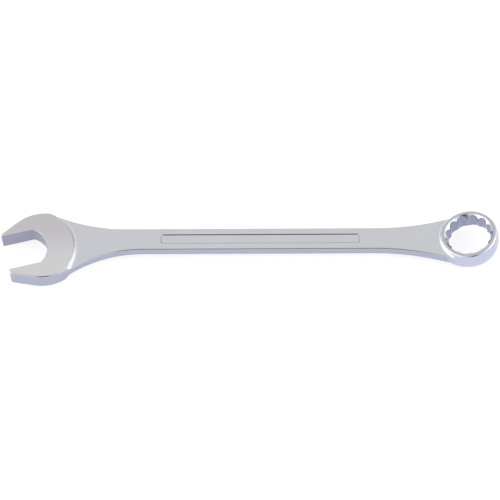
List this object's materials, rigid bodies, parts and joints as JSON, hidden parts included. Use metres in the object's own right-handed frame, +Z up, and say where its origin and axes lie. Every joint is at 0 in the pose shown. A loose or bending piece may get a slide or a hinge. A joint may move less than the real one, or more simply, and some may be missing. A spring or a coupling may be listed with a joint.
{
  "type": "combination wrench",
  "caption": "Forged combination wrench with an angled open end, a flat shank with sunk panels and a tilted twelve-point ring.",
  "frame": {"origin": "centre of the footprint's bounding box, on the plane under the ring's lowest edge", "axes": "+X along the shank from the open end to the ring, +Y across the shank, away from the near jaw, +Z up, square to the shank's faces"},
  "size_m": [0.399, 0.0618, 0.0247],
  "materials": {
    "ground_head": "ground head face under satin chrome",
    "satin_shank": "satin chrome plate",
    "polished_ring": "polished chrome plate"
  },
  "bodies": {
    "root": {"open_end_head": "ground_head", "shank": "satin_shank", "ring_head": "polished_ring"}
  },
  "joints": []
}
